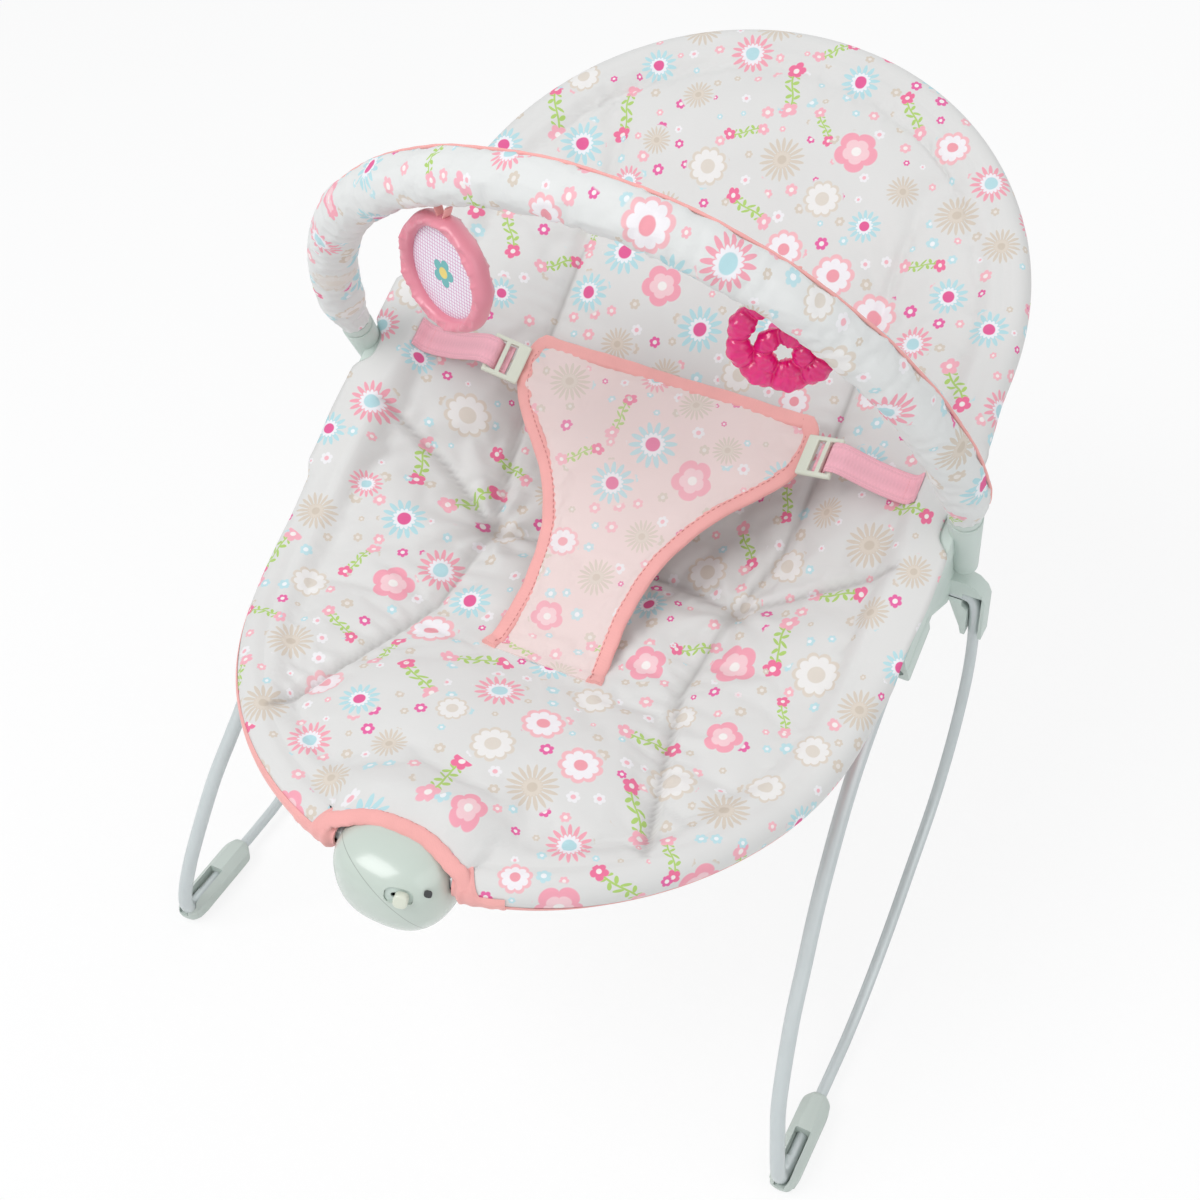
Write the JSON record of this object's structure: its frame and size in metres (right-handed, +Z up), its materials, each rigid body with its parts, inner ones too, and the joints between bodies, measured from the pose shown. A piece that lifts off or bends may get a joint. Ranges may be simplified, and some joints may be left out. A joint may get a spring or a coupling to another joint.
{
  "type": "baby bouncer",
  "caption": "Wire-framed baby bouncer with a padded sling seat, crotch pad, padded toy bar with hanging toys and a vibration unit.",
  "frame": {"origin": "bottom centre of the whole object's box, on the floor", "axes": "+X is the seat's width towards the right of the picture, -Y faces the foot end, +Z is up"},
  "size_m": [0.469, 0.6018, 0.5883],
  "materials": {
    "painted_steel": "satin paint",
    "sage_plastic": "smooth moulded",
    "grey_plastic": "satin moulded",
    "dark_rubber": "matt",
    "printed_cloth": "printed brushed cloth over wadding",
    "pink_cloth": "printed brushed cloth",
    "salmon_binding": "woven tape",
    "pink_webbing": "ribbed woven webbing",
    "ivory_plastic": "smooth moulded",
    "white_plastic": "smooth moulded",
    "pink_plastic": "gloss moulded",
    "mirror_film": "polished",
    "magenta_gel": "translucent",
    "dark_plastic": "moulded",
    "battery_jacket": "gloss",
    "bare_metal": "plain"
  },
  "bodies": {
    "base": {"side_wire_left": "painted_steel", "side_wire_right": "painted_steel", "rear_bar": "painted_steel", "rear_foot_left": "dark_rubber", "rear_foot_right": "dark_rubber", "front_leg_left": "painted_steel", "front_leg_right": "painted_steel", "front_grip_left": "grey_plastic", "front_grip_right": "grey_plastic"},
    "toy_bar": {"toy_bar_core": "white_plastic", "toy_bar_sleeve": "printed_cloth", "toy_bar_plug_left": "white_plastic", "toy_bar_plug_right": "white_plastic"},
    "mirror_toy": {"mirror_frame": "pink_plastic", "mirror_panel": "mirror_film", "mirror_loop": "salmon_binding"},
    "teether": {"teether_ring": "magenta_gel", "teether_loop": "salmon_binding"},
    "switch": {"switch_knob": "ivory_plastic"},
    "door": {"battery_door": "sage_plastic"},
    "motor_rotor": {"motor_weight": "bare_metal"},
    "seat": {"seat_back_tube": "painted_steel", "seat_front_tube": "painted_steel", "hub_outer_left": "sage_plastic", "hub_outer_right": "sage_plastic", "hub_inner_left": "sage_plastic", "hub_inner_right": "sage_plastic", "vibration_upper_shell": "sage_plastic", "vibration_lower_shell": "sage_plastic", "pad_sleeve_back": "printed_cloth", "pad_side_flap_left": "printed_cloth", "pad_side_flap_right": "printed_cloth", "seat_pad_lower": "printed_cloth", "seat_pad_back": "printed_cloth", "crotch_pad": "pink_cloth", "pad_sleeve_front_left": "salmon_binding", "pad_sleeve_front_right": "salmon_binding", "pad_arch_binding": "salmon_binding", "waist_strap_left": "pink_webbing", "waist_strap_right": "pink_webbing", "waist_buckle_left": "ivory_plastic", "waist_buckle_right": "ivory_plastic", "vibration_chassis": "dark_plastic", "switch_body": "dark_plastic", "battery": "battery_jacket", "hub_screw_left_1": "bare_metal", "hub_screw_left_2": "bare_metal", "hub_screw_left_3": "bare_metal", "hub_screw_right_1": "bare_metal", "hub_screw_right_2": "bare_metal", "hub_screw_right_3": "bare_metal", "battery_contact_left": "bare_metal", "battery_contact_right": "bare_metal", "vibration_motor": "bare_metal"}
  },
  "joints": [
    {"name": "seat_bounce", "type": "hinge", "parent": "base", "child": "seat", "pos_m": [0, 0.06027, 0.281], "axis": [1, 0, 0], "range_deg": [-1.5, 1.5], "stiffness_Nm_per_rad": 90, "springref_deg": -0.69},
    {"name": "toy_bar_lift", "type": "slide", "parent": "seat", "child": "toy_bar", "axis": [0, -0.4695, 0.8829], "range_m": [0, 0.03]},
    {"name": "mirror_swing", "type": "hinge", "parent": "toy_bar", "child": "mirror_toy", "pos_m": [-0.0745, -0.0745, 0.54068], "axis": [0.9397, -0.342, 0], "range_deg": [-25, 25]},
    {"name": "teether_swing", "type": "hinge", "parent": "toy_bar", "child": "teether", "pos_m": [0.111, -0.04837, 0.54064], "axis": [0.9397, 0.342, 0], "range_deg": [0, 35]},
    {"name": "vibration_switch", "type": "slide", "parent": "seat", "child": "switch", "axis": [-0.9572, -0.2688, 0.1072], "range_m": [0, 0.005]},
    {"name": "battery_door", "type": "hinge", "parent": "seat", "child": "door", "pos_m": [0, -0.24523, 0.222], "axis": [1, 0, 0], "range_deg": [0, 80]},
    {"name": "motor_spin", "type": "hinge", "parent": "seat", "child": "motor_rotor", "pos_m": [0, -0.25373, 0.271], "axis": [1, 0, 0], "continuous": true}
  ]
}
